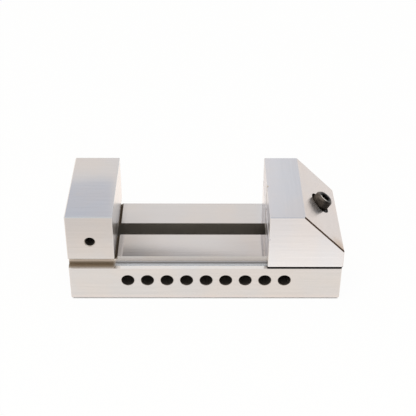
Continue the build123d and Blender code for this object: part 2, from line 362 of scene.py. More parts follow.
toward_card = vector_calc(tree, "DOT_PRODUCT", direction, card_direction)
on_card = step_between(
    tree,
    toward_card,
    cos(card_half_angle * (1 + card_softness)),
    cos(card_half_angle * (1 - card_softness)),
)
front = blend_colours(tree, step_between(tree, upward, *front_change), front_low, front_high)
studio = lay_over(
    tree,
    back_wall,
    (blend_colours, step_between(tree, ahead, *front_side), front),
    (blend_colours, step_between(tree, upward, *overhead_foot), overhead_white),
    (blend_colours, on_card, card_colour),
)
rays = tree.nodes.new("ShaderNodeLightPath").outputs
seen = lay_over(
    tree,
    even_sky,
    (blend_colours, rays["Is Glossy Ray"], studio),
    (blend_colours, any_of(tree, rays["Is Camera Ray"], rays["Is Transmission Ray"]), plain_white),
)
background = tree.nodes.new("ShaderNodeBackground")
output = tree.nodes.new("ShaderNodeOutputWorld")
feed(tree, background.inputs["Color"], seen)
feed(tree, output.inputs["Surface"], background.outputs[0])
print("world steps:", len(tree.nodes))

# %% The soft lamp
lamp_width = 1.6
lamp_power = 9.0
lamp_place = Vector((-0.45, -0.95, 1.25))

lamp_data = bpy.data.lights.new("soft_box", "AREA")
lamp_data.shape = "SQUARE"
lamp_data.size = lamp_width
lamp_data.energy = lamp_power
lamp = bpy.data.objects.new("soft_box", lamp_data)
bpy.context.scene.collection.objects.link(lamp)
lamp.location = lamp_place
lamp.rotation_euler = (-lamp_place).to_track_quat("-Z", "Y").to_euler()
lamp.visible_glossy = False
print("lamp radiance:", round(lamp_power / (pi * lamp_width**2), 2))

# %% [markdown]
# ## The floor
#
# The vise stands on a pale sheet that runs out of sight. The floor is mostly self lit where the
# camera or a mirror ray meets it, so it stays white, and the rest of it is matt paper, so it keeps
# the faint contact shadow. In mirrors it is brightest close to the vise and falls off in front, so
# upright faces darken a little toward their top.
#
# From below the sheet can be looked through, so that the underside can be seen too. For the ground
# base to look like steel from there, mirror rays pass through the sheet under the block, and about
# a third of them pass where the channel is open to it.


# %% The sheet
def deselect_all():
    """Starts a new piece with nothing selected."""
    bpy.ops.object.select_all(action="DESELECT")


floor_width = 8.0
floor_drop = 0.02 * mm

deselect_all()
bpy.ops.mesh.primitive_plane_add(size=floor_width, location=(0, 0, -floor_drop))
floor = bpy.context.object
floor.name = "floor"
print("floor at", round(floor.location.z / mm, 3), "mm")

# %% Where the block stands
block_low, block_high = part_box("vise_body")
foot_depth = 0.8 * mm
base_inset = 3.0 * mm
channel_start, channel_end = -74.8 * mm, 89.4 * mm
channel_half_width = 14.0 * mm
channel_margin = 0.3 * mm
channel_light = 0.32

floor_paper, tree, surface = empty_material("floor_paper")
along, across, _ = split_up(tree, place_and_normal(tree)[0])


def under_block(inset, soft):
    """Where the block stands, but for a margin of that width."""
    return all_of(
        tree,
        within(tree, along, block_low.x + inset, block_high.x - inset, soft),
        within(tree, across, block_low.y + inset, block_high.y - inset, soft),
    )


at_foot = under_block(foot_depth, 2 * foot_depth)
under_base = under_block(base_inset, 0.2 * mm)
under_channel = all_of(
    tree,
    within(tree, along, channel_start - channel_margin, channel_end + channel_margin),
    step_between(
        tree,
        unsigned(tree, across),
        channel_half_width + channel_margin + 0.1 * mm,
        channel_half_width + channel_margin - 0.1 * mm,
    ),
)
print("block length in mm:", round((block_high.x - block_low.x) / mm, 1))

# %% What the floor shows
own_light = 0.95
paper = (0.90, 0.90, 0.90, 1)
floor_white = (1.005, 1.005, 1.0, 1)
floor_in_front = (0.86, 0.825, 0.80, 1)
floor_near, near_from = (1.03, 1.025, 1.01, 1), (-135 * mm, -60 * mm)
floor_beside, beside_from = (1.12, 1.07, 1.04, 1), (-44 * mm, -41 * mm)

rays = tree.nodes.new("ShaderNodeLightPath").outputs
seen_or_mirrored = any_of(tree, rays["Is Camera Ray"], rays["Is Glossy Ray"])
self_lit = all_of(tree, seen_or_mirrored, own_light, opposite(tree, at_foot))
floor_light = lay_over(
    tree,
    floor_in_front,
    (blend_colours, step_between(tree, across, *near_from), floor_near),
    (blend_colours, step_between(tree, across, *beside_from), floor_beside),
    (blend_colours, rays["Is Camera Ray"], floor_white),
)
matt = tree.nodes.new("ShaderNodeBsdfDiffuse")
matt.inputs["Color"].default_value = paper
glow = tree.nodes.new("ShaderNodeEmission")
feed(tree, glow.inputs["Color"], floor_light)
lit = blend_shaders(tree, self_lit, matt.outputs[0], glow.outputs[0])

let_through = all_of(
    tree,
    rays["Is Glossy Ray"],
    under_base,
    opposite(tree, calc(tree, "MULTIPLY", under_channel, 1.0 - channel_light)),
)
from_below = tree.nodes.new("ShaderNodeNewGeometry").outputs["Backfacing"]
clear = tree.nodes.new("ShaderNodeBsdfTransparent")
feed(tree, surface, blend_shaders(tree, any_of(tree, from_below, let_through), lit, clear.outputs[0]))
floor.data.materials.append(floor_paper)
print("floor steps:", len(tree.nodes))

# %% [markdown]
# ## Ground steel
#
# A surface grinder leaves hundreds of fine lines, all along the table's travel. A noise pattern
# that is stretched a few hundred times in that direction gives such lines, and it needs no
# picture. The body travelled along its length. The sliding jaw was ground across, except on its
# two sides. A face that looks along the travel gets the other direction, chosen from its normal.
#
# Three widths of line are added up: hair lines, wider strokes that show from a step away, and
# soft bands. A large slow cloud warms and cools the colour a little, as handled steel does, and
# the Bevel node finds the edges, where the metal is rubbed bright.

# %% Ground steel: lines and edges
line_layers = ((5200.0, 0.45), (1700.0, 0.35), (420.0, 0.20))
line_run = 22.0


def grinding_lines(tree, coordinate, travel):
    """Lines along one axis, as a height around 0.5: each layer is how fine it is and its share."""
    heights = []
    for across_scale, share in line_layers:
        scale = [across_scale] * 3
        scale[travel] = line_run
        lines = cloud(tree, stretch(tree, coordinate, scale), scale=1.0, detail=2.0)
        heights.append(calc(tree, "MULTIPLY", lines, share))
    return reduce(lambda a, b: calc(tree, "ADD", a, b), heights)


def edge_mask(tree, radius):
    """1 on edges that are rubbed bright, 0 on flats."""
    bevel = tree.nodes.new("ShaderNodeBevel")
    bevel.samples = 4
    bevel.inputs["Radius"].default_value = radius
    flat = tree.nodes.new("ShaderNodeNewGeometry").outputs["Normal"]
    match = vector_calc(tree, "DOT_PRODUCT", bevel.outputs[0], flat)
    return step_between(tree, match, 0.995, 0.93)


def looks_along(tree, part):
    """1 on faces that look straight along an axis; part is the normal's part on that axis."""
    return step_between(tree, part, 0.95, 0.99)


def long_bevels(tree, facing):
    """1 on the bevels along X that face up and to the front or the back."""
    slant = (0.62, 0.80, 0.04)
    return all_of(tree, within(tree, facing[2], *slant), within(tree, unsigned(tree, facing[1]), *slant))


print("line and edge helpers ready")

# %% Ground steel: the recipe
steel = (0.700, 0.652, 0.618, 1)
cool_steel = (0.672, 0.648, 0.640, 1)
warm_steel = (0.722, 0.652, 0.602, 1)
edge_steel = (0.80, 0.77, 0.75, 1)
ground_metal = 0.86
patch_share, rubbed_share, stain_roughness = 0.45, 0.5, 0.04


def ground_steel(name, lines_along_x, top_painted_light, side_painted_light, smoothest, roughest):
    """Ground steel up to its shader. lines_along_x gives the faces whose lines run along X."""
    material, tree, surface = empty_material(name)
    coordinate, normal = place_and_normal(tree)
    facing = split_up(tree, normal)
    along_x, along_y = (grinding_lines(tree, coordinate, travel) for travel in (0, 1))
    lines = blend_numbers(tree, lines_along_x(tree, facing), along_y, along_x)

    patches = step_between(tree, cloud(tree, coordinate, scale=26.0, detail=4.0), 0.38, 0.64)
    on_sides = step_between(tree, unsigned(tree, facing[1]), 0.8, 0.9)
    edges = edge_mask(tree, 0.35 * mm)
    # Painted light: faces that look to the front or back get the side tint and the rest the top tint, so each
    # side can be made lighter or darker.
    colour = lay_over(
        tree,
        steel,
        (blend_colours, patch_share, blend_colours(tree, patches, cool_steel, warm_steel)),
        (tint_colours, 1.0, blend_colours(tree, on_sides, top_painted_light, side_painted_light)),
        (tint_colours, 1.0, step_between(tree, lines, 0.30, 0.70, start=0.955, end=1.035)),
        (blend_colours, calc(tree, "MULTIPLY", edges, rubbed_share), edge_steel),
    )
    stains = cloud(tree, coordinate, scale=75.0, detail=5.0, roughness=0.65)
    stains = step_between(tree, stains, 0.62, 0.75)
    roughness = step_between(tree, lines, 0.30, 0.70, smoothest, roughest)
    roughness = calc(tree, "ADD", roughness, calc(tree, "MULTIPLY", stains, stain_roughness))
    return SimpleNamespace(
        material=material,
        tree=tree,
        surface=surface,
        coordinate=coordinate,
        place=split_up(tree, coordinate),
        facing=facing,
        colour=colour,
        roughness=roughness,
        lines=lines,
    )


print("recipe ready")

# %% [markdown]
# ## The body's own finish
#
# Grinding touches only the outside. The slot, the channel under it and the cross holes are milled
# and drilled, and stay darker and rougher, with cutter marks. The block knows where it is cut, so
# a mask made from the coordinates tells inside from outside. The stop hole in the fixed jaw is
# tapped, and a fine helix of grooves stands for its thread.

# %% The body's ground outside
bed_height = 34 * mm
ledge_height = 28.4 * mm
rail_side = 33.25 * mm
fixed_face = -62.8 * mm
skin = 1.1 * mm

body = ground_steel(
    "ground_steel_body",
    lambda tree, facing: step_between(tree, unsigned(tree, facing[0]), 0.65, 0.55),
    top_painted_light=(1.0, 1.0, 1.0, 1),
    side_painted_light=(1.01, 1.01, 1.01, 1),
    smoothest=0.035,
    roughest=0.065,
)
tree = body.tree
x, y, z = body.place
facing_x, facing_y, facing_z = body.facing
off_centre = unsigned(tree, y)
between_ends = within(tree, x, block_low.x + skin, block_high.x - skin)
print("body base:", len(tree.nodes), "steps")

# %% The slot, the channel and the cross holes
slot_half_width = 7.0 * mm
slot_from, slot_to = 20 * mm, 33.7 * mm
inside_from, inside_to = 0.3 * mm, 27.0 * mm
drilled_steel = (0.190, 0.168, 0.145, 1)
slot_steel = (0.325, 0.285, 0.240, 1)

inside = all_of(
    tree,
    between_ends,
    step_between(tree, off_centre, block_high.y - skin, block_high.y - skin - 0.2 * mm),
    within(tree, z, inside_from, inside_to),
)
in_slot = all_of(
    tree,
    between_ends,
    step_between(tree, off_centre, slot_half_width + 0.2 * mm, slot_half_width + 0.1 * mm),
    within(tree, z, slot_from, slot_to),
)
mill_marks = cloud(tree, stretch(tree, body.coordinate, (900.0, 900.0, 60.0)), scale=1.0)
print("slot width in mm:", round(2 * slot_half_width / mm, 1))

# %% The tapped stop hole
stop_hole_x, stop_hole_z = -78.9 * mm, 50.4 * mm
stop_hole_radius = 3.4 * mm
stop_hole_end = -10 * mm
thread_pitch = 1.25 * mm
thread_lift = 30.0

hole_x = calc(tree, "SUBTRACT", x, stop_hole_x)
hole_z = calc(tree, "SUBTRACT", z, stop_hole_z)
from_hole_axis = distance_out(tree, hole_x, hole_z)
in_stop_hole = all_of(
    tree,
    step_between(tree, from_hole_axis, stop_hole_radius + 0.15 * mm, stop_hole_radius + 0.05 * mm),
    step_between(tree, y, block_low.y + 0.9 * mm, block_low.y + skin),
    step_between(tree, y, stop_hole_end, stop_hole_end - 2 * mm),
)
machined = any_of(tree, inside, in_slot, in_stop_hole)
turned = calc(tree, "DIVIDE", calc(tree, "ARCTAN2", hole_z, hole_x), tau)
turns = calc(tree, "ADD", calc(tree, "DIVIDE", y, thread_pitch), turned)
thread = calc(tree, "MULTIPLY", calc(tree, "PINGPONG", turns, 0.5), thread_lift)
print("tapped hole at mm:", round(stop_hole_x / mm, 1), round(stop_hole_z / mm, 1))

# %% [markdown]
# The relief at the fixed jaw's foot, the groove under its overhang and the corner along the rail are painted
# darker and browner than the ground faces, a painted shade, and the rail's side is painted darker too, a
# painted shade. The thin gap under the sliding jaw's skirts is painted black, a painted shade. That gap moves
# with the jaw, so it is found with Ambient Occlusion, which sees how closed in a point is. The ledge is dull,
# and the light strip on it beside the rail is a reflection in the photograph that is painted here, with a
# colour a little over 1.

# %% The relief and the groove
# Painted shade: the relief, and the groove under the overhang, which is darkest low down.
relief_reach = 1.7 * mm
relief_painted_shade = (0.280, 0.225, 0.170, 1)
groove_shade_low = (0.375, 0.300, 0.222, 1)
groove_shade_high = (0.800, 0.700, 0.600, 1)

in_relief = all_of(
    tree,
    close_to(tree, x, fixed_face, relief_reach),
    close_to(tree, z, bed_height, relief_reach, 0.4 * mm),
)
in_groove = all_of(
    tree,
    step_between(tree, off_centre, rail_side - 0.1 * mm, rail_side - 0.05 * mm),
    step_between(tree, x, fixed_face + 2.0 * mm, fixed_face - 2.0 * mm),
    step_between(tree, z, ledge_height - 1.2 * mm, ledge_height - 0.2 * mm),
    step_between(tree, z, bed_height + 0.2 * mm, bed_height),
)
groove_rise = step_between(tree, z, ledge_height + 0.6 * mm, ledge_height + 3.4 * mm)
groove_painted_shade = blend_colours(tree, groove_rise, groove_shade_low, groove_shade_high)
print("relief reaches", round(relief_reach / mm, 1), "mm")

# %% The rail's side and the ledge
# Painted shade on the rail's side, and a painted reflection on the ledge: light beside the rail and cooler
# further out.
rail_side_painted_shade = (0.440, 0.405, 0.380, 1)
ledge_inner = (1.08, 1.10, 1.15, 1)
ledge_outer = (0.700, 0.720, 0.760, 1)
corner_share = 0.9

on_rail_side = all_of(
    tree,
    close_to(tree, off_centre, rail_side, 0.05 * mm),
    step_between(tree, x, fixed_face, fixed_face + 0.5 * mm),
    within(tree, z, ledge_height, bed_height - 0.9 * mm),
)
in_corner = all_of(
    tree,
    on_rail_side,
    step_between(tree, z, ledge_height + 2.0 * mm, ledge_height + 0.8 * mm),
    corner_share,
)
on_ledge = all_of(
    tree,
    looks_along(tree, facing_z),
    step_between(tree, off_centre, rail_side, rail_side + 0.05 * mm),
    close_to(tree, z, ledge_height, 0.2 * mm),
)
outward = step_between(tree, off_centre, rail_side + 0.8 * mm, rail_side + 3.2 * mm)
ledge_painted_reflection = blend_colours(tree, outward, ledge_inner, ledge_outer)
print("ledge drop in mm:", round((bed_height - ledge_height) / mm, 1))

# %% The gap under the skirts
# Painted shade: black for the corner along the rail, the gap under the skirts and the skirts' lower rim.
painted_gap_shade = (0.032, 0.026, 0.021, 1)
crevice_reach = 3 * mm

crevice = tree.nodes.new("ShaderNodeAmbientOcclusion")
crevice.samples = 6
crevice.inputs["Distance"].default_value = crevice_reach
under_skirt = all_of(
    tree,
    step_between(tree, off_centre, rail_side + 2.5 * mm, rail_side + 2.7 * mm),
    within(tree, z, ledge_height - 1.1 * mm, ledge_height + 0.1 * mm),
    step_between(tree, crevice.outputs["AO"], 0.97, 0.70),
)
print("crevices found within", round(crevice_reach / mm, 1), "mm")

# %% [markdown]
# The rest are tints of single faces, set by comparing with the photograph. Faces that look along the block
# mirror more softly. The fixed jaw's gripping face is painted brighter, but darker low in front, and the end
# of the bed is darker beside it. All three are painted reflections, so they stay where they are from every
# side, and the mask of the gripping face takes in the block's far end too. The long bevels are painted cooler
# on top and warmer on the rail, painted reflections as well, and the rims of the holes are browner.

# %% The gripping face and the end of the bed
# Painted reflections: the gripping face lighter, darker low in front, and the bed's end darker beside it.
grip_face_painted_light = (1.28, 1.27, 1.245, 1)
low_face_tint = (0.70, 0.69, 0.685, 1)
front_end_tint = (0.70, 0.695, 0.69, 1)
back_end_tint = (0.93, 0.93, 0.93, 1)

upright = looks_along(tree, unsigned(tree, facing_x))
inner_face = all_of(tree, upright, step_between(tree, x, fixed_face - 3.0 * mm, fixed_face - 2.5 * mm))
low_front = all_of(tree, step_between(tree, z, 53 * mm, 43 * mm), step_between(tree, y, 2 * mm, -14 * mm))
inner_tint = blend_colours(tree, low_front, grip_face_painted_light, low_face_tint)
bed_end = all_of(
    tree,
    looks_along(tree, facing_z),
    step_between(tree, x, fixed_face + 5.5 * mm, fixed_face + 3.0 * mm),
    close_to(tree, z, bed_height, 0.2 * mm),
)
end_tint = blend_colours(tree, step_between(tree, y, -20 * mm, 20 * mm), front_end_tint, back_end_tint)
print("gripping face at", round(fixed_face / mm, 1), "mm")

# %% The long bevels and the holes' rims
# Painted reflections: the long bevels are tinted cooler on top and warmer on the rail.
top_bevel_painted_reflection = (1.04, 1.085, 1.11, 1)
rail_bevel_painted_reflection = (1.0, 0.955, 0.90, 1)
rim_tint = (0.82, 0.77, 0.72, 1)
rim_reach = 4.5 * mm

bevel_height = step_between(tree, z, 60 * mm, 61 * mm)
bevel_painted_reflection = blend_colours(tree, bevel_height, rail_bevel_painted_reflection, top_bevel_painted_reflection)
at_a_hole = any_of(
    tree,
    step_between(tree, from_hole_axis, rim_reach, rim_reach - 0.1 * mm),
    within(tree, z, 6 * mm, ledge_height - 3 * mm),
)
on_rim = all_of(
    tree,
    between_ends,
    step_between(tree, unsigned(tree, facing_y), 0.9, 0.8),
    step_between(tree, off_centre, block_high.y - 1.2 * mm, block_high.y - 1.0 * mm),
    at_a_hole,
)
print("body masks:", len(tree.nodes), "steps")

# %% The body's layers
face_roughness, rim_roughness, ledge_roughness = 0.28, 0.30, 0.60
body_line_depth = 0.0008 * mm

colour = lay_over(
    tree,
    body.colour,
    (tint_colours, bed_end, end_tint),
    (tint_colours, inner_face, inner_tint),
    (tint_colours, long_bevels(tree, body.facing), bevel_painted_reflection),
    (tint_colours, on_rim, rim_tint),
    (blend_colours, on_rail_side, rail_side_painted_shade),
    (blend_colours, on_ledge, ledge_painted_reflection),
    (blend_colours, any_of(tree, inside, in_stop_hole), drilled_steel),
    (blend_colours, in_slot, slot_steel),
    (blend_colours, in_groove, groove_painted_shade),
    (blend_colours, in_relief, relief_painted_shade),
    (blend_colours, any_of(tree, in_corner, under_skirt), painted_gap_shade),
)
milled_roughness = step_between(tree, mill_marks, 0.3, 0.7, 0.38, 0.55)
roughness = lay_over(
    tree,
    body.roughness,
    (blend_numbers, upright, face_roughness),
    (blend_numbers, any_of(tree, on_rail_side, on_rim), rim_roughness),
    (blend_numbers, on_ledge, ledge_roughness),
    (blend_numbers, any_of(tree, machined, in_relief, in_groove), milled_roughness),
)
height = blend_numbers(tree, machined, body.lines, mill_marks)
height = calc(tree, "ADD", height, calc(tree, "MULTIPLY", in_stop_hole, thread))
metal(tree, body.surface, colour, roughness, ground_metal, height, body_line_depth)
print("body finish:", len(tree.nodes), "steps")

# %% [markdown]
# ## The sliding jaw's finish
#
# The sliding jaw gets the same recipe with the lines turned across. As the photograph shows, its finish is
# slightly softer, and its colour is painted a little brighter than the body's and much brighter on its two
# sides, a painted light. The recess and the passage for the screw are bored, so they get a rougher look, and
# they are painted dark brown, a painted shade. They are what lies close to the screw's axis, and the joints
# in the frame say where that axis is and how far it tips.

# %% The screw's axis
joints = {joint["name"]: joint for joint in frame["joints"]}
pivot = Vector(joints["screw_lean"]["pos_m"])
screw_out = Vector(joints["nut_lift"]["axis"]).normalized()
screw_tip = radians(90) - Vector((screw_out.x, screw_out.z)).angle(Vector((1, 0)))


def about_screw(tree, coordinate):
    """The place seen along the screw: two numbers across it, the height up it, the distance from it."""
    upright = tree.nodes.new("ShaderNodeVectorRotate")
    upright.rotation_type = "Y_AXIS"
    feed(tree, upright.inputs["Vector"], vector_calc(tree, "SUBTRACT", coordinate, pivot))
    upright.inputs["Angle"].default_value = -screw_tip
    along_tip, across_tip, up = split_up(tree, upright.outputs[0])
    return along_tip, across_tip, up, distance_out(tree, along_tip, across_tip)


print("the screw tips", round(screw_tip * 57.3, 1), "degrees")

# %% The jaw's ground outside and its bore
bore_radius = 8.45 * mm
slope_foot = 42.5 * mm
# Painted shade: the bore and the recess round the screw are dark brown.
bore_painted_shade = (0.155, 0.118, 0.085, 1)

# Painted light: the jaw is tinted a little lighter than the body on top and much lighter on its two sides.
jaw = ground_steel(
    "ground_steel_jaw",
    lambda tree, facing: step_between(tree, unsigned(tree, facing[1]), 0.55, 0.65),
    top_painted_light=(1.050, 1.045, 1.075, 1),
    side_painted_light=(1.235, 1.270, 1.320, 1),
    smoothest=0.10,
    roughest=0.16,
)
tree = jaw.tree
x, y, z = jaw.place
facing_x, facing_y, facing_z = jaw.facing
*_, from_screw = about_screw(tree, jaw.coordinate)
slope_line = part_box("movable_jaw")[1].x + slope_foot
bored = all_of(
    tree,
    step_between(tree, from_screw, bore_radius + 0.15 * mm, bore_radius + 0.05 * mm),
    step_between(tree, calc(tree, "ADD", x, z), slope_line - 0.25 * mm, slope_line - 0.45 * mm),
)
bore_marks = cloud(tree, jaw.coordinate, scale=400.0)
print("jaw base:", len(tree.nodes), "steps")

# %% [markdown]
# The slope is painted a little darker than the top, a painted shade, with a painted dark reflection along its
# two edges, and it turns browner toward its low front corner. The gripping face is painted lighter low down,
# where it mirrors the bed, and the upright vee groove in it is duller and painted lighter, a painted light.
# The lower rim of the skirts is painted black, a painted shade from the gap over the ledge.

# %% The jaw's slope, gripping face and skirts
# Painted shade on the slope, and a painted dark reflection along its two edges.
slope_painted_shade = (0.900, 0.892, 0.862, 1)
# Browner toward the slope's low front corner.
corner_brown = (0.480, 0.375, 0.285, 1)
corner_brown_share, corner_brown_from, corner_brown_to = 0.85, 2 * mm, 13 * mm
low_corner = Vector((93.0, -38.0, 45.0)) * mm
# Painted light: the vee groove is lighter than the steel round it.
vee_painted_light = (0.900, 0.820, 0.740, 1)
# Painted reflection: the jaw's long bevels are tinted a little darker and cooler.
jaw_bevel_painted_reflection = (0.905, 0.935, 0.97, 1)
slope_edge_painted_reflection = (0.330, 0.235, 0.165, 1)
grip_low_tint = (1.32, 1.32, 1.28, 1)
grip_high_tint = (0.95, 0.95, 0.94, 1)

off_centre = unsigned(tree, y)
sideways_normal = unsigned(tree, facing_y)
on_slope = all_of(tree, step_between(tree, facing_x, 0.6, 0.65), step_between(tree, facing_z, 0.6, 0.65))
on_slope_edge = all_of(
    tree,
    step_between(tree, facing_x, 0.36, 0.42),
    step_between(tree, facing_z, 0.36, 0.42),
    step_between(tree, sideways_normal, 0.55, 0.62),
)
from_corner = vector_calc(tree, "DISTANCE", jaw.coordinate, low_corner)
toward_low_corner = all_of(tree, on_slope, step_between(tree, from_corner, corner_brown_from, corner_brown_to, corner_brown_share, 0.0))
gripping = step_between(tree, facing_x, -0.95, -0.99)
grip_tint = blend_colours(tree, step_between(tree, z, 34 * mm, 62 * mm), grip_low_tint, grip_high_tint)
on_vee = all_of(tree, step_between(tree, facing_x, -0.5, -0.6), step_between(tree, sideways_normal, 0.5, 0.6))
below_skirt = all_of(
    tree,
    step_between(tree, off_centre, rail_side, rail_side + 0.1 * mm),
    step_between(tree, z, ledge_height + 0.85 * mm, ledge_height + 0.75 * mm),
)
print("jaw masks:", len(tree.nodes), "steps")

# %% The jaw's layers
slope_roughness, grip_roughness, vee_roughness, bore_roughness = 0.24, 0.30, 0.50, 0.34
jaw_line_depth = 0.0013 * mm

colour = lay_over(
    tree,
    jaw.colour,
    (tint_colours, on_slope, slope_painted_shade),
    (blend_colours, toward_low_corner, corner_brown),
    (blend_colours, on_vee, vee_painted_light),
    (tint_colours, long_bevels(tree, jaw.facing), jaw_bevel_painted_reflection),
    (blend_colours, on_slope_edge, slope_edge_painted_reflection),
    (tint_colours, gripping, grip_tint),
    (blend_colours, bored, bore_painted_shade),
    (blend_colours, below_skirt, painted_gap_shade),
)
roughness = lay_over(
    tree,
    jaw.roughness,
    (blend_numbers, on_slope, slope_roughness),
    (blend_numbers, gripping, grip_roughness),
    (blend_numbers, on_vee, vee_roughness),
    (blend_numbers, bored, bore_roughness),
)
height = blend_numbers(tree, bored, jaw.lines, bore_marks)
metal(tree, jaw.surface, colour, roughness, ground_metal, height, jaw_line_depth)
print("jaw finish:", len(tree.nodes), "steps")

# %% [markdown]
# ## Hardened steel
#
# The cross nut and the keeper plate are hardened and ground grey. They lie inside, so one darker,
# duller steel with fine speckle serves both.

# %% Hardened finish
hard_grey = (0.43, 0.41, 0.39, 1)
hard_brown = (0.34, 0.31, 0.275, 1)

hardened, tree, surface = empty_material("hardened_steel")
coordinate, _ = place_and_normal(tree)
mottle = step_between(tree, cloud(tree, coordinate, scale=220.0, detail=4.0), 0.35, 0.65)
fine = cloud(tree, coordinate, scale=3500.0, detail=2.0)
colour = lay_over(
    tree,
    hard_grey,
    (blend_colours, mottle, hard_brown),
    (blend_colours, calc(tree, "MULTIPLY", edge_mask(tree, 0.25 * mm), 0.6), edge_steel),
)
roughness = step_between(tree, fine, 0.3, 0.7, 0.24, 0.36)
metal(tree, surface, colour, roughness, 1.0, fine, depth=0.0015 * mm)
print("hardened finish:", len(tree.nodes), "steps")

# %% [markdown]
# ## Black oxide
#
# The screws are blackened in a hot salt bath, which leaves a thin oily coat: very dark, a little
# brown, with a soft sheen. The washer and the cone ring under the clamp screw's head have it too.
# Ridges and rims lose the coat first, so the edges are rubbed to a dark brown grey. The side of the clamp
# screw's head that looks up is painted lighter and browner, a painted light. Its socket and the foot of its
# head get a painted shade, nearly black, and one side of the socket's mouth gets a bright painted glint.

# %% Painted shade and glint on the clamp screw
# Painted shade in the socket and at the foot of the head.
painted_socket_shade = (0.006, 0.005, 0.004, 1)
# Painted glint on one side of the socket's mouth.
mouth_painted_glint = (0.950, 0.860, 0.750, 1)
socket_radius = 3.45 * mm
mouth_from, mouth_to = 3.30 * mm, 4.45 * mm
glint_along, glint_across = -0.55, -0.83


def socket_shade_and_glint(tree, coordinate, colour):
    """Painted shade in the socket and at the foot of the head, and a painted glint on one side of the mouth's
    rim.
    """
    along_tip, across_tip, up_screw, from_screw = about_screw(tree, coordinate)
    in_socket = all_of(
        tree,
        step_between(tree, from_screw, socket_radius + 0.15 * mm, socket_radius),
        step_between(tree, up_screw, -4.5 * mm, -4.4 * mm),
    )
    foot = step_between(tree, up_screw, -5.9 * mm, -6.7 * mm)
    mouth = all_of(
        tree,
        within(tree, from_screw, mouth_from, mouth_to),
        step_between(tree, up_screw, -0.9 * mm, -0.8 * mm),
    )
    toward_glint = calc(
        tree,
        "ADD",
        calc(tree, "MULTIPLY", along_tip, glint_along),
        calc(tree, "MULTIPLY", across_tip, glint_across),
    )
    glint_side = step_between(tree, calc(tree, "DIVIDE", toward_glint, from_screw), 0.58, 0.95)
    return lay_over(
        tree,
        colour,
        (blend_colours, any_of(tree, in_socket, mouth, foot), painted_socket_shade),
        (blend_colours, calc(tree, "MULTIPLY", mouth, glint_side), mouth_painted_glint),
    )


print("socket mouth reaches", round(mouth_to / mm, 2), "mm out")

# %% Black oxide finish
oxide = (0.010, 0.008, 0.007, 1)
oxide_brown = (0.024, 0.017, 0.012, 1)
# Painted light: the side that looks up is lighter and browner.
up_facing_light = (0.130, 0.104, 0.083, 1)
rubbed = (0.300, 0.255, 0.215, 1)
rubbed_off = 0.3
upper_side = Vector((-0.50, 0.15, 0.85)).normalized()


def black_oxide(name, up_facing_light_share, extra_layers=None):
    """Blackened steel. Where it looks up, it is painted lighter and browner by that share, a painted light.
    """
    material, tree, surface = empty_material(name)
    coordinate, normal = place_and_normal(tree)
    mottle = cloud(tree, coordinate, scale=600.0, detail=4.0)
    fine = cloud(tree, coordinate, scale=5200.0, detail=2.0)
    looks_up = vector_calc(tree, "DOT_PRODUCT", normal, upper_side)
    wear = all_of(tree, edge_mask(tree, 0.16 * mm), step_between(tree, mottle, 0.3, 0.6, 0.35, 1.0))
    colour = lay_over(
        tree,
        oxide,
        (blend_colours, step_between(tree, mottle, 0.38, 0.66), oxide_brown),
        (blend_colours, step_between(tree, looks_up, 0.15, 0.55, 0.0, up_facing_light_share), up_facing_light),
        (blend_colours, calc(tree, "MULTIPLY", wear, rubbed_off), rubbed),
    )
    if extra_layers:
        colour = extra_layers(tree, coordinate, colour)
    roughness = step_between(tree, fine, 0.3, 0.7, 0.28, 0.42)
    shader = metal(tree, surface, colour, roughness, 0.4, fine, depth=0.004 * mm)
    shader.inputs["Specular IOR Level"].default_value = 0.20
    return material


small_oxide = black_oxide("black_oxide", 0.0)
clamp_oxide = black_oxide("black_oxide_clamp_screw", 1.0, socket_shade_and_glint)
print("oxide finish:", len(clamp_oxide.node_tree.nodes), "steps")

# %% [markdown]
# ## Finishes onto the measured pieces
#
# The blocks, the washer pair, the nut and the plate already have their real shape, so they only
# change their material.

# %% Assign finishes
finish_of = {
    "vise_body": body.material,
    "movable_jaw": jaw.material,
    "conical_seat": small_oxide,
    "ball_washer": small_oxide,
    "cross_nut": hardened,
    "keeper_plate": hardened,
}
for node_name, material in finish_of.items():
    for slot in nodes[node_name].material_slots:
        slot.material = material
    print(node_name, "->", material.name)

# %% [markdown]
# ## Socket head screws
#
# The clamp screw is the one busy shape: a straight knurl round its head, a bevelled top, a hexagon
# socket with a chamfered mouth, and a thread. A knurl could be a bump, but its teeth show against
# the light at the head's outline, so they are modelled. The head starts as a cylinder with two
# points for each tooth. Every second point is pulled in, the end rings are made round again with
# To Sphere, and the socket is cut with a hexagon that has a cone at its mouth. The three screws
# are one function with other sizes.


# %% Modelling helpers
def pick(mesh_mode, test):
    """In edit mode, selects only the vertices or faces that pass the test, and says how many."""
    bpy.ops.mesh.select_mode(type=mesh_mode)
    bpy.ops.mesh.select_all(action="DESELECT")
    edited = bmesh.from_edit_mesh(bpy.context.edit_object.data)
    elements = edited.verts if mesh_mode == "VERT" else edited.faces
    chosen = [element for element in elements if test(element)]
    for element in chosen:
        element.select_set(True)
    edited.select_flush_mode()
    bmesh.update_edit_mesh(bpy.context.edit_object.data)
    return len(chosen)


def facing_up(face):
    """True for a face that looks straight up."""
    return face.normal.z > 0.99


def facing_down(face):
    """True for a face that looks straight down."""
    return face.normal.z < -0.99


def resize(across, up=1.0):
    """Widens or narrows what is selected."""
    bpy.ops.transform.resize(value=(across, across, up))


def grow(up, across=1.0):
    """Extrudes the selected cap upwards by up, then widens or narrows it."""
    bpy.ops.mesh.extrude_region_move(TRANSFORM_OT_translate={"value": (0, 0, up)})
    if across != 1.0:
        resize(across)


